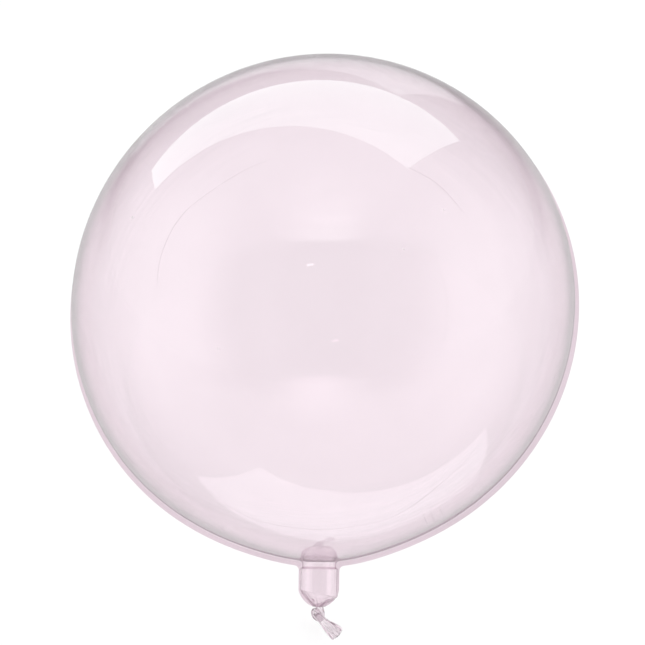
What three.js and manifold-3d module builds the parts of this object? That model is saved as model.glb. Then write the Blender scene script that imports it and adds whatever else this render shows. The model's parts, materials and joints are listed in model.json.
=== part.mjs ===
// A clear bubble balloon: one sealed envelope of stretchy film, welded from two round panels and knotted
// off at its neck. It lies as a loose balloon does, rolled forward until the tail is just off the surface.
// Millimetres, +Z up, with the origin at the middle of the small flat that the globe rests on.
import * as THREE from "three";
import { mergeVertices } from "three/addons/utils/BufferGeometryUtils.js";
import Module from "manifold-3d";

// Driving dimensions. Lengths along the neck are measured from the globe's centre.
const GLOBE_RADIUS = 200;
const REST_SPOT_RADIUS = 28;
const TAIL_REACH = 265.6;
const TAIL_CLEARANCE = 1;

const NECK_RADIUS = 14.4;
const MOUTH_FILLET = 3;
const NECK_BULGE = 4;
const BULGE_WIDTH = 52;
const NECK_STRAIGHT_END = 225;
const GATHER_DEPTH = 13.6;
const GATHER_POWER = 1.1;
const WAIST_RADIUS = 3.2;
const PLEATS = 12;
const PLEAT_DEPTH = 0.16;

const FLANGE_RADIUS = 204.2;
const FLANGE_THICKNESS = 0.5;
const FLANGE_FILLET = 4;
const NECK_FLANGE_WIDTH = 1.5;
const GATHER_FLANGE_POWER = 1.6;

const STRAND_RADIUS = 2.2;
const TAIL_END_WIDTH = 11.4;
const TAIL_END_THICKNESS = 3;
const TAIL_FOLDS = 6;
const TAIL_FOLD_DEPTH = 0.2;

// How finely the round shapes are divided
const AROUND = 72;
const GLOBE_RINGS = 32;
const FILLET_RINGS = 4;
const GATHER_RINGS = 6;
const FLANGE_SEGMENTS = 48;
const STRAND_SIDES = 12;
const STRAND_STATIONS = 24;

// Sizes that follow from them
const centreHeight = Math.sqrt(GLOBE_RADIUS ** 2 - REST_SPOT_RADIUS ** 2);
const droop = Math.asin((centreHeight - TAIL_CLEARANCE) / TAIL_REACH);
const leanFromUpright = Math.PI / 2 - droop;
const filletX = NECK_RADIUS + MOUTH_FILLET;
const filletZ = -Math.sqrt((GLOBE_RADIUS + MOUTH_FILLET) ** 2 - filletX ** 2);
const mouthAngle = Math.asin(filletX / (GLOBE_RADIUS + MOUTH_FILLET));
const waistZ = -NECK_STRAIGHT_END - GATHER_DEPTH;

const wasm = await Module();
wasm.setup();

// A closed geometry as a solid that can be joined and cut.
function solid(geometry) {
  const bare = geometry.clone();
  bare.deleteAttribute("normal");
  bare.deleteAttribute("uv");
  const merged = mergeVertices(bare, 1e-3);
  return new wasm.Manifold(
    new wasm.Mesh({
      numProp: 3,
      vertProperties: merged.attributes.position.array,
      triVerts: new Uint32Array(merged.index.array),
    }),
  );
}

function geometryOf(manifold) {
  const made = manifold.getMesh();
  const geometry = new THREE.BufferGeometry();
  geometry.setAttribute("position", new THREE.BufferAttribute(made.vertProperties, 3));
  geometry.setIndex(new THREE.BufferAttribute(made.triVerts, 1));
  geometry.computeVertexNormals();
  return geometry;
}

// Points of an arc in the half plane of a turned profile, from one angle to another, both ends included.
function arcPoints(x, z, radius, from, to, steps) {
  return Array.from({ length: steps + 1 }, (_, i) => {
    const angle = from + ((to - from) * i) / steps;
    return new THREE.Vector2(x + radius * Math.cos(angle), z + radius * Math.sin(angle));
  });
}

// A profile point as the blown film draws it out to the neck: moved down by a bell curve about the neck's
// axis that fades along the straight neck.
function drawnOut(point) {
  if (point.y > 0) return point;
  const bell = Math.exp(-((point.x / BULGE_WIDTH) ** 2));
  const fade = 1 - THREE.MathUtils.smoothstep(-point.y, GLOBE_RADIUS, NECK_STRAIGHT_END);
  return new THREE.Vector2(point.x, point.y - NECK_BULGE * bell * fade);
}

// Half the outline of the gathered end, drawn in from the straight neck to the waist: the quarter curve whose
// two shares, of the way in and of the way down, add up to one when each is raised to the power given.
function gatherPoints(radius, power) {
  return Array.from({ length: GATHER_RINGS + 1 }, (_, i) => {
    const angle = (Math.PI * i) / (2 * GATHER_RINGS);
    const out = Math.max(Math.cos(angle), 0) ** (2 / power);
    const down = Math.sin(angle) ** (2 / power);
    const x = WAIST_RADIUS + (radius - WAIST_RADIUS) * out;
    return new THREE.Vector2(x, -NECK_STRAIGHT_END - GATHER_DEPTH * down);
  });
}

// The globe, the mouth's fillet, the straight neck and the gathered end, turned about the upright neck axis.
function envelope() {
  const crownToMouth = arcPoints(0, 0, GLOBE_RADIUS, Math.PI / 2, mouthAngle - Math.PI / 2, GLOBE_RINGS);
  const mouth = arcPoints(filletX, filletZ, MOUTH_FILLET, mouthAngle + Math.PI / 2, Math.PI, FILLET_RINGS);
  const profile = [
    new THREE.Vector2(0, GLOBE_RADIUS),
    ...crownToMouth.slice(1),
    ...mouth.slice(1),
    ...gatherPoints(NECK_RADIUS, GATHER_POWER),
    new THREE.Vector2(0, waistZ - STRAND_RADIUS),
  ];
  const turned = new THREE.LatheGeometry(profile.map(drawnOut).reverse(), AROUND);
  turned.rotateX(Math.PI / 2);
  pleat(turned);
  return turned;
}

// Draws the gathered end into soft pleats, deepest at the waist.
function pleat(turned) {
  const at = turned.attributes.position;
  for (let i = 0; i < at.count; i++) {
    const below = (-NECK_STRAIGHT_END - at.getZ(i)) / GATHER_DEPTH;
    if (below <= 0) continue;
    const wave = Math.cos(PLEATS * Math.atan2(at.getY(i), at.getX(i)));
    const swell = 1 + PLEAT_DEPTH * Math.min(below, 1) ** 2 * wave;
    at.setX(i, at.getX(i) * swell);
    at.setY(i, at.getY(i) * swell);
  }
}

// Half the weld flange's outline, from the crown to the waist: a circle, a small fillet, the neck's side and
// the gathered end, each a little wider than the film that it borders.
function flangeOutline() {
  const side = NECK_RADIUS + NECK_FLANGE_WIDTH;
  const reach = FLANGE_RADIUS + FLANGE_FILLET;
  const meets = Math.asin((side + FLANGE_FILLET) / reach);
  const filletAt = -reach * Math.cos(meets);
  const rim = arcPoints(0, 0, FLANGE_RADIUS, Math.PI / 2, meets - Math.PI / 2, FLANGE_SEGMENTS);
  const turn = [meets + Math.PI / 2, Math.PI];
  const fillet = arcPoints(side + FLANGE_FILLET, filletAt, FLANGE_FILLET, ...turn, FILLET_RINGS);
  const outline = [
    ...rim,
    ...fillet.slice(1),
    ...gatherPoints(side, GATHER_FLANGE_POWER),
    new THREE.Vector2(0, waistZ),
  ];
  return outline.map(drawnOut);
}

// The flat weld flange in the seam plane, as one plate of the two panels' outline. The globe and the neck
// fill its middle, so only the rim stands out.
function flange() {
  const half = flangeOutline();
  const mirrored = half.slice(1, -1).reverse().map((p) => new THREE.Vector2(-p.x, p.y));
  const plate = new THREE.ExtrudeGeometry(new THREE.Shape([...half, ...mirrored]), {
    depth: FLANGE_THICKNESS,
    bevelEnabled: false,
  });
  plate.translate(0, 0, -FLANGE_THICKNESS / 2);
  plate.rotateX(Math.PI / 2);
  return plate;
}

// A closed rod bent along a curve. widthAt and depthAt give its half sizes in the seam plane and square to
// it, at a share of the curve's length. folds is how many ridges it grows, and foldDepth their share of it.
function bentRod(curve, widthAt, depthAt, folds = 0, foldDepth = 0) {
  const rod = new THREE.CylinderGeometry(1, 1, 1, STRAND_SIDES, STRAND_STATIONS);
  const towardsViewer = new THREE.Vector3(0, -1, 0);
  const at = rod.attributes.position;
  for (let i = 0; i < at.count; i++) {
    const share = 0.5 - at.getY(i);
    const across = at.getX(i);
    const along = at.getZ(i);
    const ridge = 1 + foldDepth * share * Math.cos(folds * Math.atan2(along, across));
    const centre = curve.getPointAt(share);
    const forward = curve.getTangentAt(share);
    const front = towardsViewer.clone().addScaledVector(forward, -towardsViewer.dot(forward)).normalize();
    const side = new THREE.Vector3().crossVectors(front, forward);
    centre.addScaledVector(side, across * widthAt(share) * ridge);
    centre.addScaledVector(front, along * depthAt(share) * ridge);
    at.setXYZ(i, centre.x, centre.y, centre.z);
  }
  return rod;
}

// A point of the knot: millimetres to the viewer's right of the waist, below it and nearer to the viewer.
const knotPoint = (right, below, nearer) => new THREE.Vector3(right, -nearer, waistZ - below);

// The standing half of the knot: the gathered neck runs down on the right, passes behind and comes up on
// the left.
function standingStrand() {
  const route = new THREE.CatmullRomCurve3([
    knotPoint(0, -3, 0),
    knotPoint(0.9, 1.5, 0),
    knotPoint(1.7, 4.8, -0.4),
    knotPoint(1.6, 8, -1.8),
    knotPoint(-0.4, 8.9, -2.8),
    knotPoint(-2.4, 6.8, -2.2),
    knotPoint(-3, 4.4, -0.2),
  ]);
  return bentRod(route, () => STRAND_RADIUS, () => STRAND_RADIUS);
}

// The wrapping half: from the left bulge over the front, down to the right and out into the folded,
// flaring tail.
function wrapAndTail() {
  const route = new THREE.CatmullRomCurve3([
    knotPoint(-2.8, 5.6, -1.2),
    knotPoint(-2.9, 4.2, 0.8),
    knotPoint(-1.5, 4.3, 2.6),
    knotPoint(0.4, 6.6, 3.2),
    knotPoint(2.8, 9.8, 2),
    knotPoint(6.2, 13.2, 0.6),
    knotPoint(11, 17.6, 0.2),
    knotPoint(15.8, 21.9, 0.4),
  ]);
  const flare = (share) => THREE.MathUtils.smoothstep(share, 0.4, 1);
  const halfWidth = (share) => THREE.MathUtils.lerp(STRAND_RADIUS * 1.3, TAIL_END_WIDTH / 2, flare(share));
  const halfDepth = (share) => THREE.MathUtils.lerp(STRAND_RADIUS, TAIL_END_THICKNESS / 2, flare(share));
  return bentRod(route, halfWidth, halfDepth, TAIL_FOLDS, TAIL_FOLD_DEPTH);
}

const film = new THREE.MeshStandardMaterial({
  color: "#f6e4ee",
  roughness: 0.05,
  metalness: 0,
  transparent: true,
  opacity: 0.35,
});

const balloon = new THREE.Mesh(undefined, film);
balloon.name = "bubble_balloon";
balloon.position.set(0, 0, centreHeight);
balloon.rotation.x = -leanFromUpright;
balloon.updateMatrix();

// Everything under the surface that the balloon lies on is cut away, which leaves the flat rest spot.
function belowSurface() {
  const block = new THREE.BoxGeometry(GLOBE_RADIUS, GLOBE_RADIUS, GLOBE_RADIUS);
  block.translate(0, 0, -GLOBE_RADIUS / 2);
  return block.applyMatrix4(balloon.matrix.clone().invert());
}

const joined = [flange(), standingStrand(), wrapAndTail()].reduce(
  (body, piece) => body.add(solid(piece)),
  solid(envelope()),
);
balloon.geometry = geometryOf(joined.subtract(solid(belowSurface())));

const part = new THREE.Group();
part.add(balloon);

export default part;
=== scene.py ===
"""A clear bubble balloon of stretched film, lying on a pale studio floor.

The film is worked out as two closed pieces. One is the thin shell of the globe, its weld flange, the neck
and the pleated end, with fine ridges for its creases. The other is the knotted strand that runs out into the
tail. Lengths are in metres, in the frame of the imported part.
"""

import json
import math

import bmesh
import bpy
import numpy as np
from bpy.props import FloatProperty, FloatVectorProperty, IntProperty, PointerProperty
from mathutils import Matrix, Vector


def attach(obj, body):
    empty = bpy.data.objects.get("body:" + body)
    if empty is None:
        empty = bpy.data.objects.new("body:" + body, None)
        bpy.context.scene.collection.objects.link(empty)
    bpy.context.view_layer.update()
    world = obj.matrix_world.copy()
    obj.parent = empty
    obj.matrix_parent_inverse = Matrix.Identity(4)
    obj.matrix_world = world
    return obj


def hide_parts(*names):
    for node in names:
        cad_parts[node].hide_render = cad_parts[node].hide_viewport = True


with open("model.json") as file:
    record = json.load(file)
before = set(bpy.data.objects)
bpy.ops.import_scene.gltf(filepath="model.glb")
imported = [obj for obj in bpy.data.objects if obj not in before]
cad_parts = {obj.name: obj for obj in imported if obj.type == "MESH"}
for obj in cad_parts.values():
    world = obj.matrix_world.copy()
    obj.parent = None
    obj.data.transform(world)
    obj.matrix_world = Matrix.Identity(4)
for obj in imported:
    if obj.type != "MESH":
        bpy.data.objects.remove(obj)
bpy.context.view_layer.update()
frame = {"record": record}

bl_info = {
    "name": "Clear Bubble Balloon",
    "version": (1, 0, 0),
    "blender": (4, 5, 0),
    "location": "View3D > Sidebar > Balloon",
    "description": "Makes a knotted balloon of clear film and the studio that it lies in",
    "category": "Add Mesh",
}

# The imported node that the film stands for, and the part's one body
NODE = "bubble_balloon"
BODY = "root"

# The balloon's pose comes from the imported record: the tie mount sits at the waist, on the neck's axis
TIE = next(m for m in frame["record"]["mounts"] if m["name"] == "ribbon_tie")
WAIST = np.array(TIE["pos_m"])
NECK_AXIS = np.array(TIE["axis"])
RIGHT_AXIS = np.array((1.0, 0.0, 0.0))
NEAR_AXIS = np.cross(NECK_AXIS, RIGHT_AXIS)

# Where the globe stands in the picture, whose frame is square
PICTURE_SIZE = 645
GLOBE_AT_PX = (323.3, 305.8)
GLOBE_RADIUS_PX = 251.8

# How finely the film and its routes are divided, and how much columns crowd at the seams
GLOBE_ROWS = 124
FILLET_ROWS = 10
NECK_ROWS = 44
GATHER_ROWS = 30
HALF_COLUMNS = 88
FLANGE_COLUMNS = 9
STRAND_STATIONS = 260
STRAND_COLUMNS = 120
RIDGE_STATIONS = 90
RIDGE_SIDES = 8
FINE_STEPS = 8
CROWDING = 0.6

MILLIMETRE = 0.001

# The knotted strand's route, as millimetres to the right of the waist, below it and nearer to the viewer.
# It runs down on the right, behind to the left, over the front and out to the cut end at the lower right.
KNOT_ROUTE = (
    (0, -3, 0), (0.9, 1.5, 0), (1.7, 4.4, -0.4), (1.7, 7, -1.6), (-0.3, 8, -2.4), (-2.2, 6.4, -2),
    (-2.8, 4, -0.2), (-1.7, 4.2, 2.2), (0.2, 6.6, 2.8), (2.6, 9.6, 1.8), (6.2, 13.2, 0.6), (11, 17.4, 0.2),
    (15, 20.9, 0.4),
)

# Shares of the route's length where the tail begins to spread and its cut end to stand out
TAIL_FROM = 0.6
CUT_FROM = 0.85

# Creases of the near panel, as millimetres to the right of the globe's centre and along the neck
CREASES = (
    ((-70, 175), (-69.8, 182.3), (-69.9, 187.6)),
    ((81.3, 168.7), (83.9, 173.8), (86.7, 178)),
    ((86.5, 166.4), (89.2, 171.4), (91.2, 175.1)),
    ((93.3, 163.9), (95.9, 167.6), (97.8, 170)),
    ((-81.1, 149.9), (-61, 165.8), (-34.9, 176.9), (8.9, 181.3), (59.5, 171.8), (101.1, 142.1),
     (123.2, 117.6)),
    ((-111.3, 18.9), (-110.6, 1.8), (-106.9, -13.8), (-98.4, -30.7), (-85, -44.4), (-51.2, -65.7),
     (-27.2, -75.6)),
    ((64.5, -69.9), (75.5, -65.1), (86.2, -58.9), (96.3, -49.3), (105.6, -38.4)),
)

# Folds where the neck is gathered, in the same way
FOLDS = (
    ((-14, 226), (-10.6, 230.4), (-6.8, 233.8), (-2.4, 238.2)),
    ((13.6, 231.2), (9.2, 233.6), (5.2, 235.4), (1, 238)),
    ((11.4, 230.8), (9.6, 232.6), (7.4, 232.9), (5.6, 234.6), (2.6, 236.6)),
    ((-5.2, 232.2), (-3.8, 233.4), (-3.2, 234.8)),
)

# The neck's drawn-in mouth: its start inside the globe's radius, its run, and half of its end's soft step
COLLAR_LEAD = 2 * MILLIMETRE
COLLAR_RUN = 3 * MILLIMETRE
COLLAR_HALF_STEP = 0.8 * MILLIMETRE

# The soft corner where film lifts off the floor, how near two points are one, and where edges stay sharp
REST_CORNER = 0.1 * MILLIMETRE
MERGE_DISTANCE = 1e-6
SHARP_ANGLE = math.radians(50)

# Waves of the gathered end's pleats: height, number of pleats over the main ones' and phase
PLEAT_WAVES = ((1.0, 0, 0.0), (0.6, -5, 1.1), (0.5, 9, 2.3))
PLEAT_MIDDLE = 1.3
PLEAT_GROWTH = 1.4

# The bead of the weld and the flange's thinner edge, as shares of the flange's thickness and width
BEAD_HEIGHT = 0.6
BEAD_AT = 0.45
BEAD_WIDTH = 0.1
EDGE_THINNING = 0.5
EDGE_POWER = 6

# Shares of the layer tint in the neck and its gathered end, of painted shade in the ring at its mouth, and
# where they lie
NECK_LAYERS = 0.13
NECK_LAYERS_LEAD = 3 * MILLIMETRE
NECK_LAYERS_RUN = 6 * MILLIMETRE
GATHER_LAYERS = 0.2
# The ring at the mouth takes the layer tint as painted shade, a dark line along the mouth's crease
RING_PAINTED_SHADE = 0.8
RING_WIDTH = 0.8 * MILLIMETRE

# Waves of the strand's pleats: height, waves in a turn and phase
STRAND_WAVES = ((0.3, 4.5, 0.0), (0.14, 3.5, 1.0))
STRAND_WAVE_MIDDLE = 0.6
STRAND_TWIST = 1.5
STRAND_WIDENING = 1.15
STRAND_PATTERN_LENGTH = 3

# The tail's folds: share of its thickness, the wave's angle from the middle to an edge, and phase
FOLD_DEPTH = 0.45
FOLD_WAVE = 4.2 * math.pi
FOLD_PHASE = 0.6

# The film's faint marks: how far streaks are drawn out and fade from the seam, and how strong each mark is
STREAK_STRETCH = (2.0, 75.0, 2.0)
STREAK_FADE = (0.75, 0.1)
STREAK_TINT = 0.2
CLOUD_TINT = 0.03
CLOUD_HAZE = 0.02
SPECK_SIZE = 0.03
SPECK_RARITY = 0.9
SPECK_HAZE = 0.3
NOISE_MIDDLE = 0.5

# The film's refraction, its roughness where stretched, gathered and at the rim, and its tint of shadows
FILM_IOR = 1.45
STRETCHED_ROUGHNESS = 0.02
GATHERED_ROUGHNESS = 0.12
RIM_ROUGHNESS = 0.2
SHADOW_TINT = (0.997, 0.994, 0.9955, 1)

# How far film turns away, from 0 to 1, where its four tints hold and where the rim's roughness grows
# The third and fourth tints are painted shade for the rim's dark outline
TINT_STOPS = (0.3, 0.55, 0.82, 0.94)
RIM_RANGE = (0.6, 0.92)

# The floor, its painted shade and light far from the balloon, and the distances and angles where they come in
FLOOR_HALF_SIDE = 12.0
FLOOR_UNEVENNESS = 0.01
FLOOR_ROUGHNESS = (0.85, 0.95)
FLOOR_AHEAD_SHADE = 0.72
FLOOR_FAR_SHADE = 0.55
FLOOR_SIDE_LIGHT = 1.08
FLOOR_FADE = (1.0, 3.0)
FLOOR_AHEAD = (math.radians(23), math.radians(20))
FLOOR_SIDE = (math.radians(35), math.radians(62))

# The panels along the picture's axes: place from the globe's centre, facing, direction of the width, and
# size. Their cool tint looks white in the pink film.
SOFTBOX_PLACE = (-1.056, 1.62, -0.51)
SOFTBOX_FACING = (-0.229, -0.96, -0.162)
SOFTBOX_ACROSS = (0.914, -0.269, 0.305)
SOFTBOX_SIZE = (4.02, 0.83)
REAR_PLACE = (-0.004, 0.533, -0.596)
REAR_FACING = (0.324, -0.917, 0.235)
REAR_ACROSS = (0.845, 0.392, 0.365)
REAR_SIZE = (0.88, 0.556)
PANEL_COLOR = (0.82, 1, 0.92)
KEY_ANGLE = math.radians(60)

# The side glows: angles round from the camera where they grow and fade, height, tilt and shift to the right
GLOW_GROWS = (math.radians(37), math.radians(68))
GLOW_FADES = (math.radians(140), math.radians(105))
GLOW_HEIGHT = (0.95, 0.35)
GLOW_TILT = 0.13
GLOW_SHIFT = 0.05

# The lamp and the wall on the camera's side. Pairs of sizes and of radiance are for what the near film
# mirrors and for what shows through it.
LAMP_SHIFT = 0.025
LAMP_HALF_WIDTH = 0.38
LAMP_HEIGHT = (0.49, 0.625)
LAMP_RISE = (0.19, 0.32)
LAMP_DEPTH = (-0.045, -0.07)
LAMP_RADIANCE = (1.8, 1.3)
LAMP_FADE = (1.0, 0.1)
LAMP_AHEAD = (0.0, 0.1)
WALL_HALF_WIDTH = (0.335, 0.39)
WALL_HALF_HEIGHT = (0.525, 0.713)
WALL_EDGE = (-0.015, 0.015)
WALL_DARKENING = 0.1
CEILING_EDGE = (-0.02, 0.02)
CEILING_AHEAD = (0.0, 0.25)
CEILING_RADIANCE = 0.15

# The pale backdrop's edge, and a small bright spot with its axes, edges and strength
BACKDROP_EDGE = (0.5, 1.0)
SPOT_ACROSS = (0.995, 0.096, 0.07)
SPOT_UP = (-0.09, 0.947, -0.311)
SPOT_WIDTH_EDGE = (0.034, 0.026)
SPOT_HEIGHT_EDGE = (0.011, 0.005)
SPOT_RADIANCE = 3.0


def metres(name, description, default):
    """A length in metres."""
    return FloatProperty(name=name, description=description, default=default, precision=5, unit="LENGTH")


def degrees(name, description, default):
    """An angle, with its default in degrees."""
    return FloatProperty(name=name, description=description, default=math.radians(default), subtype="ANGLE")


def plain(name, description, default):
    """A plain share or strength."""
    return FloatProperty(name=name, description=description, default=default, precision=4)


def rgb(name, description, default):
    """A colour with three parts from 0 to 1."""
    return FloatVectorProperty(
        name=name, description=description, default=default, subtype="COLOR", size=3, min=0, max=1)


class BalloonFilm(bpy.types.PropertyGroup):
    """Sizes, tint and painted rim shade of the film envelope. Lengths along the neck are from the globe's
    centre.
    """

    globe_radius: metres("Globe radius", "Outer radius of the globe", 0.2)
    film_thickness: metres("Film thickness", "Wall of the envelope", 0.00018)
    oval: plain("Oval", "Share that the globe leans to one diagonal of the seam's plane", 0.0094)
    neck_bulge: metres("Neck bulge", "How far the film is drawn out to the neck", 0.004)
    bulge_width: metres("Bulge width", "Reach of the bulge from the neck's axis", 0.052)
    rest_width: metres("Rest width", "Reach of the press where the globe lies on the floor", 0.09)
    mouth_fillet: metres("Mouth fillet", "Radius where globe and neck meet", 0.003)
    neck_radius: metres("Neck radius", "Radius of the inflated neck", 0.0144)
    collar_at: metres("Collar place", "Where the drawn-in mouth steps out", 0.2052)
    collar_depth: metres("Collar depth", "How far the neck's mouth is drawn in", 0.0011)
    neck_end: metres("Neck end", "Where the straight neck ends", 0.2284)
    waist_at: metres("Waist place", "Where the gathered film meets the knot", 0.2386)
    gather_lean: plain("Gather lean", "Slope of the gathered end to the left", 0.19)
    gather_power: plain("Gather power", "Roundness of the pleated end, 1 for a plain cone", 1.0)
    waist_radius: metres("Waist radius", "Radius of the film above the knot", 0.0032)
    pleats: IntProperty(name="Pleats", description="Main pleats round the gathered end", default=12)
    pleat_depth: plain("Pleat depth", "Share of the radius that a pleat stands out", 0.3)
    flange_radius: metres("Flange radius", "Radius of the weld flange's edge", 0.2042)
    flange_end: metres("Flange end", "Where the neck's straight flange ends", 0.225)
    flange_fillet: metres("Flange fillet", "Radius where flange and neck meet", 0.004)
    flange_neck_width: metres("Neck flange", "Width of the flange along the neck", 0.0015)
    flange_power: plain("Flange power", "Roundness of the flange round the pleated end", 1.6)
    flange_thickness: metres("Flange thickness", "The two films where they are welded", 0.0004)
    crease_radius: metres("Crease radius", "Radius of the fine ridges", 0.00015)
    fold_radius: metres("Fold radius", "Radius of the gathered neck's folds", 0.0005)
    tint: rgb("Tint", "Light that one stretched wall lets through, face on", (0.951, 0.89, 0.923))
    low_tint: rgb("Low tint", "Light let through at a low angle", (0.85, 0.78, 0.82))
    # The rim and edge tints are painted shade, the darker colour that draws the rim's dark outline
    rim_painted_shade: rgb("Rim tint", "Light let through near the rim", (0.68, 0.555, 0.62))
    edge_painted_shade: rgb("Edge tint", "Light let through at the very rim", (0.46, 0.23, 0.34))
    # The layer tint also paints the shade of the dark line at the neck's mouth
    layer_tint: rgb(
        "Layer tint", "Share of that light let through where film lies in layers", (0.8, 0.72, 0.765))


class BalloonKnot(bpy.types.PropertyGroup):
    """Sizes of the knotted strand and its tail."""

    strand_radius: metres("Strand radius", "Radius of the gathered film", 0.0023)
    tail_width: metres("Tail width", "Width of the tail at its cut end", 0.0106)
    tail_thickness: metres("Tail thickness", "Thickness of the folded tail's end", 0.003)
    layers: plain("Layers", "Share of the layer tint that the gathered film has", 0.3)
    cut_bulge: metres("Cut bulge", "How far the cut end's middle stands out", 0.0014)


class BalloonStage(bpy.types.PropertyGroup):
    """The floor, the studio light and the camera."""

    camera_azimuth: degrees("Azimuth", "Camera's turn round the balloon", 2.9)
    camera_elevation: degrees("Elevation", "Camera's height angle", 32.5)
    camera_roll: degrees("Roll", "Turn of the picture", -1.1)
    camera_distance: metres("Distance", "From the camera to the globe's centre", 1.4)
    floor_color: rgb("Floor", "Colour of the floor", (0.9, 0.9, 0.9))
    key_light: plain("Key light", "Strength of the even light on the floor, for each square metre", 1.53)
    softbox: plain("Softbox", "Radiance of the softbox over the globe", 2.35)
    rear_panel: plain("Rear panel", "Radiance of the panel behind the globe", 1.35)
    surround: plain("Surround", "Radiance of the plain studio walls", 0.45)
    backdrop: plain("Backdrop", "Radiance that the pale backdrop adds", 0.3)
    side_glow: plain("Side glow", "Radiance that the side panels add", 0.78)


def rise(value, low, high):
    """A smooth step from 0 at low to 1 at high."""
    t = np.clip((value - low) / (high - low), 0, 1)
    return t * t * (3 - 2 * t)


def to_frame(right, near, along):
    """Points of the part's frame: the globe's centre plus so far to the right, towards the viewer of the
    near panel and along the neck."""
    film = bpy.context.scene.balloon_film
    centre = WAIST - NECK_AXIS * film.waist_at
    parts = [np.asarray(a)[..., None] * axis
             for a, axis in ((right, RIGHT_AXIS), (near, NEAR_AXIS), (along, NECK_AXIS))]
    return centre + sum(parts)


def blown(right, near, along):
    """The turned shape as the blown film takes it, placed in the part's frame.

    Near the neck's axis a point moves along it, by the bulge times a bell curve of its distance from the
    axis, which fades out down the neck. Elsewhere the two directions of the seam's plane lean to each other
    by the oval's share."""
    film = bpy.context.scene.balloon_film
    bell = np.exp(-(right ** 2 + near ** 2) / film.bulge_width ** 2) * (along > 0)
    lean = film.oval * (1 - bell)
    drawn = film.neck_bulge * bell * rise(along, film.neck_end, film.globe_radius)
    return to_frame(right - lean * along, near, along - lean * right + drawn)


def panel_outline(radius, fillet, neck_half, neck_end, power):
    """Half the outline of a round panel with a neck, from the crown to the waist, as two arrays: the
    distance from the neck's axis and the distance along it.

    It is a circle, a fillet that touches both circle and neck, the straight neck, and a gathered end whose
    two shares, in and down, add up to one when raised to the power."""
    film = bpy.context.scene.balloon_film
    meets = math.asin((neck_half + fillet) / (radius + fillet))
    turn = np.linspace(0, math.pi - meets, GLOBE_ROWS)
    bend = np.linspace(meets, math.pi / 2, FILLET_ROWS + 1)[1:]
    down = np.linspace(0, 1, NECK_ROWS + 1)[1:]
    draw = np.linspace(0, math.pi / 2, GATHER_ROWS + 1)[1:]
    fillet_at = (radius + fillet) * math.cos(meets)
    inward = np.maximum(np.cos(draw), 0) ** (2 / power)
    lower = np.sin(draw) ** (2 / power)
    out = np.concatenate((
        radius * np.sin(turn),
        neck_half + fillet - fillet * np.sin(bend),
        np.full(NECK_ROWS, neck_half),
        film.waist_radius + (neck_half - film.waist_radius) * inward,
    ))
    along = np.concatenate((
        -radius * np.cos(turn),
        fillet_at - fillet * np.cos(bend),
        fillet_at + (neck_end - fillet_at) * down,
        neck_end + (film.waist_at - neck_end) * lower,
    ))
    return out, along


def tube_outline():
    """The outline of the globe and neck, without flange."""
    film = bpy.context.scene.balloon_film
    return panel_outline(
        film.globe_radius, film.mouth_fillet, film.neck_radius, film.neck_end, film.gather_power)


def collar(along):
    """How far the neck's mouth is drawn in: the whole depth on a short way, with a soft step at its end."""
    film = bpy.context.scene.balloon_film
    start = film.globe_radius - COLLAR_LEAD
    begins = rise(along, start, start + COLLAR_RUN)
    ends = rise(along, film.collar_at + COLLAR_HALF_STEP, film.collar_at - COLLAR_HALF_STEP)
    return -film.collar_depth * begins * ends


def ring_columns():
    """The columns of the envelope's closed ring: angle round the neck's axis, side of the seam and share of
    the way out over the flange.

    The near half runs from the right seam to the left, over the left flange to the far half, and over the
    right flange to the start. To crowd at the seams, each angle is an even one less a share of the sine of
    twice itself."""
    even = np.linspace(0, 1, HALF_COLUMNS + 1)
    half = math.pi * (even - CROWDING * np.sin(2 * math.pi * even) / (2 * math.pi))
    out = np.linspace(0, 1, FLANGE_COLUMNS + 1)[1:]
    back = out[::-1]
    still = np.zeros_like(half)
    ones = np.ones(FLANGE_COLUMNS)
    left = np.full(2 * FLANGE_COLUMNS, math.pi)
    angle = np.concatenate((half, left, half + math.pi, 2 * left))
    side = np.concatenate((still + 1, ones, -ones, still - 1, -ones, ones))
    share = np.concatenate((still, out, back, still, out, back))
    return angle, side, share


def settle(points, level=0.0):
    """Presses the film up where it lies on a level, in two steps.

    Round the spot it lies on, the film gives way by as much as the globe would sink in, times a bell curve
    of the level distance from the spot. What is still too low moves up along a soft corner: half the sum of
    the height over the level and the root of its square plus the corner's."""
    film = bpy.context.scene.balloon_film
    spot = to_frame(0.0, 0.0, 0.0)
    sinks = film.globe_radius - spot[2]
    away = ((points[..., :2] - spot[:2]) ** 2).sum(axis=-1)
    bell = np.exp(-away / film.rest_width ** 2) * (points[..., 2] < spot[2])
    height = points[..., 2] + sinks * bell - level
    points[..., 2] = level + 0.5 * (height + np.sqrt(height ** 2 + REST_CORNER ** 2))
    return points


def grid_quads(rows, columns, first=0, inside_out=False):
    """Corner numbers of a grid's faces, whose columns close into a ring."""
    row = np.arange(rows - 1)[:, None]
    column = np.arange(columns)[None, :]
    following = (column + 1) % columns
    corners = (row * columns + column, row * columns + following,
               (row + 1) * columns + following, (row + 1) * columns + column)
    spread = [np.broadcast_to(corner, (rows - 1, columns)) for corner in corners]
    quads = np.stack(spread, axis=-1).reshape(-1, 4) + first
    return quads[:, ::-1] if inside_out else quads


def rim_quads(outer, inner, columns):
    """Faces between a ring of an outer wall and that of its inner wall, given each ring's first number."""
    column = np.arange(columns)
    following = (column + 1) % columns
    return np.stack((outer + column, outer + following, inner + following, inner + column), axis=-1)


def shell(outer, inner):
    """Points and faces of a thin wall between two grids, closed round the last ring."""
    rows, columns = outer.shape[:2]
    count = rows * columns
    last = (rows - 1) * columns
    faces = (
        grid_quads(rows, columns),
        grid_quads(rows, columns, first=count, inside_out=True),
        rim_quads(last, count + last, columns),
    )
    points = np.concatenate((outer.reshape(-1, 3), inner.reshape(-1, 3)))
    return points, np.concatenate(faces)


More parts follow.
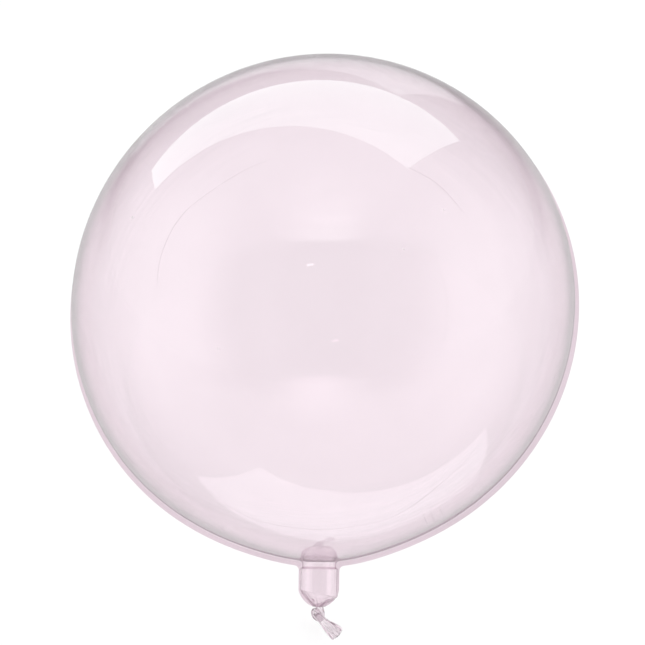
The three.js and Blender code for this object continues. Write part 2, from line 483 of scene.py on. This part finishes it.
def make_piece(name, points, faces, pattern, layers):
    """A piece from points and faces. Each point keeps its pattern coordinates and share of layer tint, which
    at the neck's mouth is painted shade.
    """
    mesh = bpy.data.meshes.new(name)
    mesh.from_pydata(points.tolist(), [], faces.tolist())
    mesh.attributes.new("pattern", "FLOAT_VECTOR", "POINT").data.foreach_set("vector", pattern.ravel())
    mesh.attributes.new("layers", "FLOAT", "POINT").data.foreach_set("value", layers.ravel())
    close_doubles(mesh)
    mesh.polygons.foreach_set("use_smooth", np.ones(len(mesh.polygons), dtype=bool))
    mesh.set_sharp_from_angle(angle=SHARP_ANGLE)
    piece = bpy.data.objects.new(name, mesh)
    bpy.context.collection.objects.link(piece)
    return piece


def close_doubles(mesh):
    """Merges the points that meet at poles, seams and where a flange runs out."""
    work = bmesh.new()
    work.from_mesh(mesh)
    bmesh.ops.remove_doubles(work, verts=work.verts, dist=MERGE_DISTANCE)
    bmesh.ops.recalc_face_normals(work, faces=work.faces)
    work.to_mesh(mesh)
    work.free()
    mesh.update()


def pleat_swell(angle, along):
    """How much the gathered end stands out in pleats: a share of the radius that grows to the waist with a
    power of the way down, on sharp-edged waves of three spacings so that no two pleats are alike."""
    film = bpy.context.scene.balloon_film
    way = np.clip((along - film.neck_end) / (film.waist_at - film.neck_end), 0, 1) ** PLEAT_GROWTH
    half = angle / 2
    waves = sum(height * np.abs(np.cos((film.pleats + more) * half + phase))
                for height, more, phase in PLEAT_WAVES)
    return 1 + film.pleat_depth * way * (waves - PLEAT_MIDDLE)


def layer_tint_and_mouth_shade(along):
    """The share of the layer tint down the film: it steps up at the neck, grows in the gathered end, and has
    a bell curve of painted shade at the mouth, a dark line along its crease."""
    film = bpy.context.scene.balloon_film
    neck_start = film.collar_at - NECK_LAYERS_LEAD
    neck = NECK_LAYERS * rise(along, neck_start - NECK_LAYERS_RUN, neck_start)
    gathered = GATHER_LAYERS * rise(along, film.neck_end, film.waist_at)
    # Painted shade: a dark line at the mouth, drawn in the layer tint
    ring = RING_PAINTED_SHADE * np.exp(-((along - film.collar_at) / RING_WIDTH) ** 2)
    return neck + gathered + ring


def envelope_walls():
    """The outer and inner wall of the globe, flange, neck and gathered end, with pattern and layers, whose
    ring at the mouth is painted shade.

    A row is a circle round the neck's axis. At the seams the ring runs out along the flange, from the
    panel's own outline to the flange's edge, and back. The weld's bead is a bell curve across the flange.
    The inner wall is a film's thickness inside and has no flange. The pattern is the direction in the seam's
    plane, and the height over it as a share of the radius."""
    film = bpy.context.scene.balloon_film
    angle, side, share = ring_columns()
    out, along = tube_outline()
    out = out + collar(along)
    edge_out, edge_along = panel_outline(
        film.flange_radius, film.flange_fillet, film.neck_radius + film.flange_neck_width, film.flange_end,
        film.flange_power)
    slope_out, slope_along = np.gradient(out), np.gradient(along)
    length = np.hypot(slope_out, slope_along)
    normal_out, normal_along = slope_along / length, -slope_out / length
    swell = pleat_swell(angle[None, :], along[:, None])
    weld = film.flange_thickness / 2

    reach = (out[:, None] + (edge_out - out)[:, None] * share) * np.where(share > 0, 1, swell)
    lean = film.gather_lean * out * rise(along, film.collar_at, film.neck_end) * rise(
        along, film.waist_at, film.neck_end)
    tipped = lean[:, None] * np.cos(angle)
    depth = along[:, None] + (edge_along - along)[:, None] * share + tipped * (1 - share)
    bead = 1 + BEAD_HEIGHT * np.exp(-((share - BEAD_AT) / BEAD_WIDTH) ** 2)
    bead -= EDGE_THINNING * share ** EDGE_POWER
    right = reach * np.cos(angle)
    near = out[:, None] * np.sin(angle) * swell + side * weld * bead
    outer = settle(blown(right, near, depth))

    inner_out = np.maximum(out - normal_out * film.film_thickness, 0)[:, None] * swell
    inner_along = (along - normal_along * film.film_thickness)[:, None] + tipped
    inner = blown(inner_out * np.cos(angle), inner_out * np.sin(angle) + side * weld, inner_along)
    inner = settle(inner, film.film_thickness)

    flat = np.hypot(right, depth) + MILLIMETRE
    pattern = np.stack((right / flat, near / film.globe_radius, depth / flat), axis=-1)
    layers = np.where(share > 0, 1.0, layer_tint_and_mouth_shade(along)[:, None])
    return outer, inner, pattern, layers


def smooth_route(points, count):
    """Even points on the curve through the given ones, with their shares of its length: between each two it
    is the cubic whose slopes are half the way from the point before to the point after."""
    points = np.array(points)
    padded = np.concatenate((2 * points[:1] - points[1:2], points, 2 * points[-1:] - points[-2:-1]))
    place = np.linspace(0, len(points) - 1, count * FINE_STEPS)
    start = np.minimum(place.astype(int), len(points) - 2)
    t = (place - start)[:, None]
    a, b, c, d = (padded[start + k] for k in range(4))
    fine = 0.5 * (2 * b + (c - a) * t + (2 * a - 5 * b + 4 * c - d) * t ** 2
                  + (3 * b - a - 3 * c + d) * t ** 3)
    run = np.concatenate(((0,), np.cumsum(np.linalg.norm(np.diff(fine, axis=0), axis=1))))
    even = np.linspace(0, run[-1], count)
    return np.stack([np.interp(even, run, fine[:, k]) for k in range(3)], axis=1), even / run[-1]


def crease_ridge(points, thickness):
    """Points and faces of a fine rod along a crease of the near film, drawn to a point at both ends: its
    radius is the thickness times the root of the sine over its length. The film's height is the root of what
    the outline's squared distance from the neck's axis leaves over the crease's."""
    out, along = tube_outline()
    flat, share = smooth_route([(right, far_along, 0) for right, far_along in points], RIDGE_STATIONS)
    flat = flat * MILLIMETRE
    reach = np.interp(flat[:, 1], along, out)
    near = np.sqrt(np.maximum(reach ** 2 - flat[:, 0] ** 2, 0))
    route = np.stack((flat[:, 0], near, flat[:, 1]), axis=1)
    forward = np.gradient(route, axis=0)
    across = np.cross(forward, (0, 1.0, 0))
    across /= np.linalg.norm(across, axis=1)[:, None]
    front = np.cross(across, forward)
    front /= np.linalg.norm(front, axis=1)[:, None]
    turn = np.linspace(0, 2 * math.pi, RIDGE_SIDES, endpoint=False)
    radius = thickness * np.sqrt(np.sin(math.pi * share))
    ring = np.cos(turn)[:, None] * across[:, None, :] + np.sin(turn)[:, None] * front[:, None, :]
    at = route[:, None, :] + radius[:, None, None] * ring
    return blown(at[..., 0], at[..., 1], at[..., 2]).reshape(-1, 3), grid_quads(*at.shape[:2])


def knot_grid():
    """The grid of the knotted strand and its tail, with its pattern.

    A pleated ring is carried along the route. In the knot it is round, and towards the cut end it spreads
    into a flat, folded band: its width grows, its thickness shrinks, and a wave across the band folds it. The
    cut end's middle stands out by the bulge times one less the square of the way across. A point closes each
    end."""
    film, knot = bpy.context.scene.balloon_film, bpy.context.scene.balloon_knot
    route, share = smooth_route([np.array(p) * MILLIMETRE for p in KNOT_ROUTE], STRAND_STATIONS)
    forward = np.gradient(route, axis=0)
    forward /= np.linalg.norm(forward, axis=1)[:, None]
    viewer = np.array((0, 0, 1.0))
    front = viewer - forward * (forward @ viewer)[:, None]
    front /= np.linalg.norm(front, axis=1)[:, None]
    across = np.cross(forward, front)
    angle = np.linspace(0, 2 * math.pi, STRAND_COLUMNS, endpoint=False)
    flare = rise(share, TAIL_FROM, 1)[:, None]
    strand = knot.strand_radius * STRAND_WIDENING
    half_width = strand + (knot.tail_width / 2 - strand) * flare
    half_depth = knot.strand_radius + (knot.tail_thickness / 2 - knot.strand_radius) * flare
    twist = angle + STRAND_TWIST * share[:, None]
    ridge = 1 + sum(height * (np.abs(np.cos(waves * twist + phase)) - STRAND_WAVE_MIDDLE)
                    for height, waves, phase in STRAND_WAVES)
    fold = flare * knot.tail_thickness * FOLD_DEPTH * np.cos(FOLD_WAVE * np.cos(angle) + FOLD_PHASE)
    stand_out = knot.cut_bulge * rise(share, CUT_FROM, 1)[:, None] * np.sin(angle) ** 2
    wide = half_width * np.cos(angle) * ridge
    deep = half_depth * np.sin(angle) * ridge + fold
    at = (route[:, None, :] + wide[..., None] * across[:, None, :] + deep[..., None] * front[:, None, :]
          + stand_out[..., None] * forward[:, None, :])
    ends = [np.broadcast_to(at[k].mean(axis=0), at[k].shape) for k in (0, -1)]
    at = np.concatenate((ends[:1], at, ends[1:]))
    length = STRAND_PATTERN_LENGTH * share[:, None]
    pattern = np.stack(np.broadcast_arrays(np.cos(angle), length, np.sin(angle)), axis=-1)
    pattern = np.concatenate((pattern[:1], pattern, pattern[-1:]))
    return settle(to_frame(at[..., 0], at[..., 2], film.waist_at + at[..., 1])), pattern


def node(tree, kind, inputs=(), **settings):
    """A node with its settings made, and its inputs, by name or number, set to values or linked."""
    made = tree.nodes.new(kind)
    for name, value in settings.items():
        setattr(made, name, value)
    for name, value in dict(inputs).items():
        if isinstance(value, bpy.types.NodeSocket):
            tree.links.new(value, made.inputs[name])
        else:
            made.inputs[name].default_value = value
    return made


def math_node(tree, operation, *values):
    """The result of a maths node on sockets or numbers."""
    return node(tree, "ShaderNodeMath", dict(enumerate(values)), operation=operation).outputs[0]


def soft_step(tree, value, low, high, most=1.0, least=0.0):
    """A smooth step of a socket, from the least at low to the most at high."""
    return node(tree, "ShaderNodeMapRange", {
        "Value": value, "From Min": low, "From Max": high, "To Min": least, "To Max": most},
        interpolation_type="SMOOTHSTEP").outputs["Result"]


def film_grain():
    """The group of faint marks that every film has: drawn streaks along the seam, soft clouds and specks.

    It puts out a tint near one, a haze that adds to the roughness and a height for the bump. Streaks are
    noise that is drawn out along the seam, and they fade towards the panel's middle. Clouds are broad noise,
    and specks are the middles of a few random cells."""
    if "film_grain" in bpy.data.node_groups:
        return bpy.data.node_groups["film_grain"]
    tree = bpy.data.node_groups.new("film_grain", "ShaderNodeTree")
    tree.interface.new_socket("Pattern", in_out="INPUT", socket_type="NodeSocketVector")
    tree.interface.new_socket("Object", in_out="INPUT", socket_type="NodeSocketVector")
    for name in ("Tint", "Haze", "Height"):
        tree.interface.new_socket(name, in_out="OUTPUT", socket_type="NodeSocketFloat")
    given = node(tree, "NodeGroupInput").outputs
    height_over_seam = node(tree, "ShaderNodeSeparateXYZ", {0: given["Pattern"]}).outputs["Y"]
    by_seam = soft_step(tree, math_node(tree, "ABSOLUTE", height_over_seam), *STREAK_FADE)
    drawn = node(tree, "ShaderNodeVectorMath", {0: given["Pattern"], 1: STREAK_STRETCH},
                 operation="MULTIPLY").outputs["Vector"]
    streak = node(tree, "ShaderNodeTexNoise", {"Vector": drawn, "Scale": 1.0, "Detail": 4.0}).outputs["Fac"]
    cloud = node(tree, "ShaderNodeTexNoise", {
        "Vector": given["Object"], "Scale": 14.0, "Detail": 3.0}).outputs["Fac"]
    cells = node(tree, "ShaderNodeTexVoronoi", {"Vector": given["Object"], "Scale": 30.0}).outputs
    chance = node(tree, "ShaderNodeSeparateColor", {0: cells["Color"]}).outputs["Red"]
    speck = math_node(tree, "MULTIPLY",
                      math_node(tree, "LESS_THAN", cells["Distance"], SPECK_SIZE),
                      math_node(tree, "GREATER_THAN", chance, SPECK_RARITY))
    streak_depth = math_node(tree, "MULTIPLY", math_node(tree, "SUBTRACT", streak, NOISE_MIDDLE), by_seam)
    cloud_depth = math_node(tree, "SUBTRACT", cloud, NOISE_MIDDLE)
    tint = math_node(tree, "MULTIPLY_ADD", streak_depth, STREAK_TINT, 1.0)
    tint = math_node(tree, "MULTIPLY_ADD", cloud_depth, CLOUD_TINT, tint)
    haze = math_node(tree, "MULTIPLY_ADD", speck, SPECK_HAZE, math_node(tree, "MULTIPLY", cloud, CLOUD_HAZE))
    node(tree, "NodeGroupOutput", {"Tint": tint, "Haze": haze, "Height": streak_depth})
    return tree


def film_material(name, roughness):
    """Clear tinted film: a dielectric that lets light through, tints it deeper in layers, where light runs a
    longer way in the film, and darker towards the rim, partly for that longer way and partly as painted shade
    for the rim's dark outline, and lets the floor's light and shadow rays pass."""
    film = bpy.context.scene.balloon_film
    material = bpy.data.materials.new(name)
    material.use_nodes = True
    tree = material.node_tree
    tree.nodes.clear()
    pattern = node(tree, "ShaderNodeAttribute", attribute_name="pattern").outputs["Vector"]
    # The layers share, which at the neck's mouth is painted shade
    layers = node(tree, "ShaderNodeAttribute", attribute_name="layers").outputs["Fac"]
    place = node(tree, "ShaderNodeTexCoord").outputs["Object"]
    grain = node(tree, "ShaderNodeGroup", node_tree=film_grain())
    tree.links.new(pattern, grain.inputs["Pattern"])
    tree.links.new(place, grain.inputs["Object"])
    facing = node(tree, "ShaderNodeLayerWeight", {"Blend": 0.5}).outputs["Facing"]
    ramp = node(tree, "ShaderNodeValToRGB", {"Fac": facing})
    stops = ramp.color_ramp.elements
    stops[0].position = TINT_STOPS[0]
    stops[0].color = (*film.tint, 1)
    stops[1].position = TINT_STOPS[1]
    stops[1].color = (*film.low_tint, 1)
    # Painted shade: the rim and edge stops darken the film where it turns away from the view
    for position, color in zip(TINT_STOPS[2:], (film.rim_painted_shade, film.edge_painted_shade)):
        stops.new(position).color = (*color, 1)
    layered = node(tree, "ShaderNodeMix", {0: layers, 6: ramp.outputs["Color"]}, data_type="RGBA")
    layered.blend_type = "MULTIPLY"
    layered.inputs[7].default_value = (*film.layer_tint, 1)
    grained = node(tree, "ShaderNodeMix", {0: 1.0, 6: layered.outputs[2], 7: grain.outputs["Tint"]},
                   data_type="RGBA", blend_type="MULTIPLY")
    at_rim = node(tree, "ShaderNodeMapRange", {
        "Value": facing, "From Min": RIM_RANGE[0], "From Max": RIM_RANGE[1], "To Min": roughness,
        "To Max": RIM_ROUGHNESS}).outputs["Result"]
    rough = math_node(tree, "ADD", at_rim, grain.outputs["Haze"])
    bump = node(tree, "ShaderNodeBump", {
        "Strength": 0.03, "Distance": 0.0005, "Height": grain.outputs["Height"]})
    shader = node(tree, "ShaderNodeBsdfPrincipled", {
        "Base Color": grained.outputs[2],
        "Roughness": rough,
        "Normal": bump.outputs["Normal"],
        "IOR": FILM_IOR,
        "Transmission Weight": 1.0,
    })
    path = node(tree, "ShaderNodeLightPath")
    clear = node(tree, "ShaderNodeBsdfTransparent", {"Color": SHADOW_TINT})
    shadow = node(tree, "ShaderNodeMixShader", {
        0: path.outputs["Is Shadow Ray"], 1: shader.outputs["BSDF"], 2: clear.outputs["BSDF"]})
    bounce = node(tree, "ShaderNodeMixShader", {
        0: path.outputs["Is Diffuse Ray"], 1: shadow.outputs["Shader"], 2: clear.outputs["BSDF"]})
    node(tree, "ShaderNodeOutputMaterial", {"Surface": bounce.outputs["Shader"]})
    return material


def dress(piece, material):
    """Gives a finished piece its material and its place on the part."""
    piece.data.materials.append(material)
    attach(piece, BODY)
    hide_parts(NODE)


class BALLOON_OT_envelope(bpy.types.Operator):
    """Make the film globe with its weld flange, neck, pleated end and creases"""

    bl_idname = "balloon.envelope"
    bl_label = "Film Envelope"

    def execute(self, context):
        outer, inner, pattern, layers = envelope_walls()
        points, faces = shell(outer, inner)
        patterns = [pattern.reshape(-1, 3)] * 2
        shares = [layers.ravel()] * 2
        film = context.scene.balloon_film
        ridges = [(crease, film.crease_radius, 0.0) for crease in CREASES]
        ridges += [(fold, film.fold_radius, 1.0) for fold in FOLDS]
        for line, thickness, layered in ridges:
            ridge, quads = crease_ridge(line, thickness)
            faces = np.concatenate((faces, quads + len(points)))
            points = np.concatenate((points, ridge))
            patterns.append(np.zeros_like(ridge))
            shares.append(np.full(len(ridge), layered))
        piece = make_piece("film_envelope", points, faces, np.concatenate(patterns), np.concatenate(shares))
        dress(piece, film_material("clear_film", STRETCHED_ROUGHNESS))
        return {"FINISHED"}


class BALLOON_OT_knot(bpy.types.Operator):
    """Make the knotted strand of film and its tail"""

    bl_idname = "balloon.knot"
    bl_label = "Knot and Tail"

    def execute(self, context):
        grid, pattern = knot_grid()
        layers = np.full(grid.shape[:2], context.scene.balloon_knot.layers)
        faces = grid_quads(*grid.shape[:2])
        piece = make_piece("knotted_tail", grid.reshape(-1, 3), faces, pattern, layers)
        dress(piece, film_material("gathered_film", GATHERED_ROUGHNESS))
        # Shadow and bounce light would leave a grey blur beside it
        piece.visible_shadow = False
        piece.visible_diffuse = False
        return {"FINISHED"}


def picture_axes():
    """Unit vectors of the picture: to its right, to its top and towards the camera."""
    stage = bpy.context.scene.balloon_stage
    azimuth, elevation = stage.camera_azimuth, stage.camera_elevation
    toward = Vector((math.sin(azimuth) * math.cos(elevation), -math.cos(azimuth) * math.cos(elevation),
                     math.sin(elevation)))
    level = Vector((math.cos(azimuth), math.sin(azimuth), 0))
    right = Matrix.Rotation(stage.camera_roll, 3, toward) @ level
    return right, toward.cross(right), toward


def in_picture(right, up, toward):
    """A direction or a step given along the picture's axes."""
    axes = picture_axes()
    return axes[0] * right + axes[1] * up + axes[2] * toward


def turned_to(place, back, across):
    """The matrix of a camera or light at a place, with its back to a direction and its width along the part
    of another that lies square to it."""
    side = (across - back * back.dot(across)).normalized()
    turn = Matrix((side, back.cross(side), back)).transposed().to_4x4()
    return Matrix.Translation(place) @ turn


def globe_centre():
    """The globe's centre in the part's frame."""
    return Vector(to_frame(0.0, 0.0, 0.0))


def place_camera():
    """Puts the camera so that the globe has its size and place in the picture.

    The globe's outline is the cone that touches it, so the picture's focal length in pixels is the
    outline's radius over the cone's tangent. The camera is aimed at the point that lies in the middle of the
    picture."""
    stage, film = bpy.context.scene.balloon_stage, bpy.context.scene.balloon_film
    right, up, toward = picture_axes()
    cone = math.asin(film.globe_radius / stage.camera_distance)
    focal_px = GLOBE_RADIUS_PX / math.tan(cone)
    middle = PICTURE_SIZE / 2
    per_px = stage.camera_distance / focal_px
    aim = globe_centre()
    aim -= right * (GLOBE_AT_PX[0] - middle) * per_px
    aim += up * (GLOBE_AT_PX[1] - middle) * per_px
    place = globe_centre() + toward * stage.camera_distance
    back = (place - aim).normalized()
    data = bpy.data.cameras.new("camera")
    data.sensor_fit = "HORIZONTAL"
    data.angle = 2 * math.atan(middle / focal_px)
    camera = bpy.data.objects.new("camera", data)
    camera.matrix_world = turned_to(place, back, up.cross(back))
    bpy.context.collection.objects.link(camera)
    bpy.context.scene.camera = camera


def floor_material():
    """Pale matt floor with a faint, broad unevenness of tone and gloss.

    Far from the balloon it has painted shade ahead and behind and painted light at the sides, a falloff of
    light that the film mirrors as walls: its tone goes from one to the far painted tone with a smooth step of
    the distance."""
    stage = bpy.context.scene.balloon_stage
    material = bpy.data.materials.new("pale_floor")
    material.use_nodes = True
    tree = material.node_tree
    place = node(tree, "ShaderNodeTexCoord").outputs["Object"]
    broad = node(tree, "ShaderNodeTexNoise", {"Vector": place, "Scale": 3.0, "Detail": 5.0}).outputs["Fac"]
    tone = node(tree, "ShaderNodeMix", {0: broad}, data_type="RGBA")
    tone.inputs[6].default_value = (*((1 - FLOOR_UNEVENNESS) * c for c in stage.floor_color), 1)
    tone.inputs[7].default_value = (*((1 + FLOOR_UNEVENNESS) * c for c in stage.floor_color), 1)
    away = node(tree, "ShaderNodeVectorMath", {0: place}, operation="LENGTH").outputs["Value"]
    spot = node(tree, "ShaderNodeSeparateXYZ", {0: place}).outputs
    ahead = math_node(tree, "MULTIPLY", spot["Y"], -1.0)
    round_to_side = math_node(tree, "ARCTAN2", math_node(tree, "ABSOLUTE", spot["X"]), ahead)
    at_side = math_node(tree, "MULTIPLY",
                        soft_step(tree, round_to_side, *FLOOR_SIDE),
                        soft_step(tree, round_to_side, *GLOW_FADES))
    # Painted shade ahead and behind and painted light at the sides, a falloff of light in the floor's colour
    ahead_shade = soft_step(tree, round_to_side, *FLOOR_AHEAD, FLOOR_AHEAD_SHADE, FLOOR_FAR_SHADE)
    far_shade_and_light = math_node(tree, "MULTIPLY_ADD", at_side, FLOOR_SIDE_LIGHT - FLOOR_FAR_SHADE, ahead_shade)
    far = soft_step(tree, away, *FLOOR_FADE)
    painted_falloff = math_node(tree, "MULTIPLY_ADD", math_node(tree, "SUBTRACT", far_shade_and_light, 1.0), far, 1.0)
    lit = node(tree, "ShaderNodeMix", {0: 1.0, 6: tone.outputs[2], 7: painted_falloff},
               data_type="RGBA", blend_type="MULTIPLY")
    smoothest, roughest = FLOOR_ROUGHNESS
    rough = soft_step(tree, broad, 0.2, 0.8, most=roughest, least=smoothest)
    shader = tree.nodes["Principled BSDF"]
    tree.links.new(lit.outputs[2], shader.inputs["Base Color"])
    tree.links.new(rough, shader.inputs["Roughness"])
    shader.inputs["Specular IOR Level"].default_value = 0.0
    return material


def make_floor():
    """A level square of floor round the frame's origin."""
    corners = np.array(((-1, -1, 0), (1, -1, 0), (1, 1, 0), (-1, 1, 0))) * FLOOR_HALF_SIDE
    mesh = bpy.data.meshes.new("floor")
    mesh.from_pydata(corners.tolist(), [], [(0, 1, 2, 3)])
    mesh.materials.append(floor_material())
    floor = bpy.data.objects.new("floor", mesh)
    bpy.context.collection.objects.link(floor)


def panel_light(name, place, facing, across, size, radiance, hidden_from):
    """A rectangular light of an even radiance, hidden from the camera and the named kinds of rays: its
    power is the radiance times its area times pi."""
    width, height = size
    data = bpy.data.lights.new(name, "AREA")
    data.shape = "RECTANGLE"
    data.size = width
    data.size_y = height
    data.energy = radiance * width * height * math.pi
    data.color = PANEL_COLOR
    light = bpy.data.objects.new(name, data)
    back = -in_picture(*facing).normalized()
    light.matrix_world = turned_to(globe_centre() + in_picture(*place), back, in_picture(*across))
    for kind in ("camera", *hidden_from):
        setattr(light, "visible_" + kind, False)
    bpy.context.collection.objects.link(light)


def make_lights():
    """A softbox high over the globe, which shows in the near film, a panel low behind it, which shows in the
    far film, and a broad, even key light from straight above."""
    stage = bpy.context.scene.balloon_stage
    panel_light("softbox", SOFTBOX_PLACE, SOFTBOX_FACING, SOFTBOX_ACROSS, SOFTBOX_SIZE, stage.softbox,
                ("diffuse", "transmission"))
    panel_light("rear_panel", REAR_PLACE, REAR_FACING, REAR_ACROSS, REAR_SIZE, stage.rear_panel,
                ("diffuse", "glossy"))
    key = bpy.data.lights.new("key", "SUN")
    key.energy = stage.key_light
    key.angle = KEY_ANGLE
    light = bpy.data.objects.new("key", key)
    light.visible_glossy = False
    light.visible_transmission = False
    bpy.context.collection.objects.link(light)


def looking_along(tree, axis):
    """How far the looked-at direction goes along an axis, from -1 to 1."""
    direction = node(tree, "ShaderNodeTexCoord").outputs["Generated"]
    return node(tree, "ShaderNodeVectorMath", {0: direction, 1: axis.normalized()},
                operation="DOT_PRODUCT").outputs["Value"]


def by_copy(tree, near, far):
    """One number for what the near film mirrors and another for what shows through it, in the far film."""
    through = node(tree, "ShaderNodeLightPath").outputs["Is Transmission Ray"]
    return math_node(tree, "MULTIPLY_ADD", through, far - near, near)


def side_glows(tree, across, upward, toward):
    """A soft glow on each side: it grows and fades with the angle round from the camera, and fades with the
    height over or under a level that tilts a little."""
    aside = math_node(tree, "ABSOLUTE", math_node(tree, "SUBTRACT", across, GLOW_SHIFT))
    round_to_side = math_node(tree, "ARCTAN2", aside, toward)
    off_level = math_node(tree, "ABSOLUTE", math_node(tree, "MULTIPLY_ADD", across, GLOW_TILT, upward))
    glow = math_node(tree, "MULTIPLY",
                     soft_step(tree, round_to_side, *GLOW_GROWS),
                     soft_step(tree, round_to_side, *GLOW_FADES))
    strength = bpy.context.scene.balloon_stage.side_glow
    return math_node(tree, "MULTIPLY", glow, soft_step(tree, off_level, *GLOW_HEIGHT, strength))


def camera_lamp(tree, across, upward, toward):
    """A lamp over the camera, softer above than below: it fades with the root of the squares of two shares,
    the way aside over half its width and the way up or down over its reach there."""
    aside = math_node(tree, "DIVIDE", math_node(tree, "SUBTRACT", across, LAMP_SHIFT), LAMP_HALF_WIDTH)
    over = math_node(tree, "SUBTRACT", upward, by_copy(tree, *LAMP_HEIGHT))
    up_or_down = math_node(tree, "MAXIMUM",
                           math_node(tree, "DIVIDE", over, by_copy(tree, *LAMP_RISE)),
                           math_node(tree, "DIVIDE", over, by_copy(tree, *LAMP_DEPTH)))
    away = math_node(tree, "SQRT", math_node(
        tree, "ADD", math_node(tree, "POWER", aside, 2.0), math_node(tree, "POWER", up_or_down, 2.0)))
    lamp = math_node(tree, "MULTIPLY",
                     soft_step(tree, away, *LAMP_FADE), soft_step(tree, toward, *LAMP_AHEAD))
    return math_node(tree, "MULTIPLY", lamp, by_copy(tree, *LAMP_RADIANCE))


def camera_wall(tree, across, upward, toward):
    """The darker wall behind the camera, and the brighter parts over and under it: the wall is where the way
    to the camera is more than the ways aside and up, each over the wall's half size."""
    aside = math_node(tree, "DIVIDE", math_node(tree, "ABSOLUTE", across),
                      by_copy(tree, *WALL_HALF_WIDTH))
    up = math_node(tree, "DIVIDE", math_node(tree, "ABSOLUTE", upward),
                   by_copy(tree, *WALL_HALF_HEIGHT))
    inside = math_node(tree, "SUBTRACT", toward, math_node(tree, "MAXIMUM", aside, up))
    wall = soft_step(tree, inside, *WALL_EDGE, WALL_DARKENING)
    steeper = math_node(tree, "SUBTRACT", up, aside)
    ceiling = math_node(tree, "MULTIPLY",
                        soft_step(tree, inside, *reversed(WALL_EDGE)),
                        soft_step(tree, steeper, *CEILING_EDGE, CEILING_RADIANCE))
    ceiling = math_node(tree, "MULTIPLY", ceiling, soft_step(tree, toward, *CEILING_AHEAD))
    return math_node(tree, "SUBTRACT", ceiling, wall)


def pale_backdrop(tree):
    """A paler part of the surround, level and away from the camera."""
    backward = in_picture(0, 0, -1)
    backward.z = 0.0
    strength = bpy.context.scene.balloon_stage.backdrop
    return soft_step(tree, looking_along(tree, backward), *BACKDROP_EDGE, strength)


def bright_spot(tree):
    """A small flat spot of light, where two directions are both nearly square to the looked-at one."""
    across = math_node(tree, "ABSOLUTE", looking_along(tree, in_picture(*SPOT_ACROSS)))
    up = math_node(tree, "ABSOLUTE", looking_along(tree, in_picture(*SPOT_UP)))
    return math_node(tree, "MULTIPLY",
                     soft_step(tree, across, *SPOT_WIDTH_EDGE, SPOT_RADIANCE),
                     soft_step(tree, up, *SPOT_HEIGHT_EDGE))


def make_surround():
    """The studio: a plain surround, and what the glows, lamp, wall, backdrop and spot add to it."""
    world = bpy.data.worlds.new("studio")
    world.use_nodes = True
    tree = world.node_tree
    tree.nodes.clear()
    axes = [looking_along(tree, axis) for axis in picture_axes()]
    parts = (side_glows(tree, *axes), camera_lamp(tree, *axes), camera_wall(tree, *axes),
             pale_backdrop(tree), bright_spot(tree))
    bright = bpy.context.scene.balloon_stage.surround
    for part in parts:
        bright = math_node(tree, "ADD", bright, part)
    sky = node(tree, "ShaderNodeBackground", {"Color": (1, 1, 1, 1), "Strength": bright})
    node(tree, "ShaderNodeOutputWorld", {"Surface": sky.outputs["Background"]})
    bpy.context.scene.world = world


class BALLOON_OT_stage(bpy.types.Operator):
    """Make the floor, the studio light and the camera"""

    bl_idname = "balloon.stage"
    bl_label = "Studio Stage"

    def execute(self, context):
        place_camera()
        make_floor()
        make_lights()
        make_surround()
        context.scene.view_settings.view_transform = "Standard"
        return {"FINISHED"}


class BALLOON_PT_sidebar(bpy.types.Panel):
    """Lists the balloon's pieces and their sizes"""

    bl_idname = "BALLOON_PT_sidebar"
    bl_label = "Bubble Balloon"
    bl_space_type = "VIEW_3D"
    bl_region_type = "UI"
    bl_category = "Balloon"

    def draw(self, context):
        sections = (
            (context.scene.balloon_film, BALLOON_OT_envelope),
            (context.scene.balloon_knot, BALLOON_OT_knot),
            (context.scene.balloon_stage, BALLOON_OT_stage),
        )
        for settings, operator in sections:
            box = self.layout.box()
            for name in settings.__annotations__:
                box.prop(settings, name)
            box.operator(operator.bl_idname)


SETTINGS = {"balloon_film": BalloonFilm, "balloon_knot": BalloonKnot, "balloon_stage": BalloonStage}
CLASSES = (*SETTINGS.values(), BALLOON_OT_envelope, BALLOON_OT_knot, BALLOON_OT_stage, BALLOON_PT_sidebar)


def register():
    for made in CLASSES:
        bpy.utils.register_class(made)
    for name, group in SETTINGS.items():
        setattr(bpy.types.Scene, name, PointerProperty(type=group))


def unregister():
    for name in SETTINGS:
        delattr(bpy.types.Scene, name)
    for made in reversed(CLASSES):
        bpy.utils.unregister_class(made)


def main():
    register()
    bpy.ops.balloon.stage()
    bpy.ops.balloon.envelope()
    bpy.ops.balloon.knot()


if __name__ == "__main__":
    main()
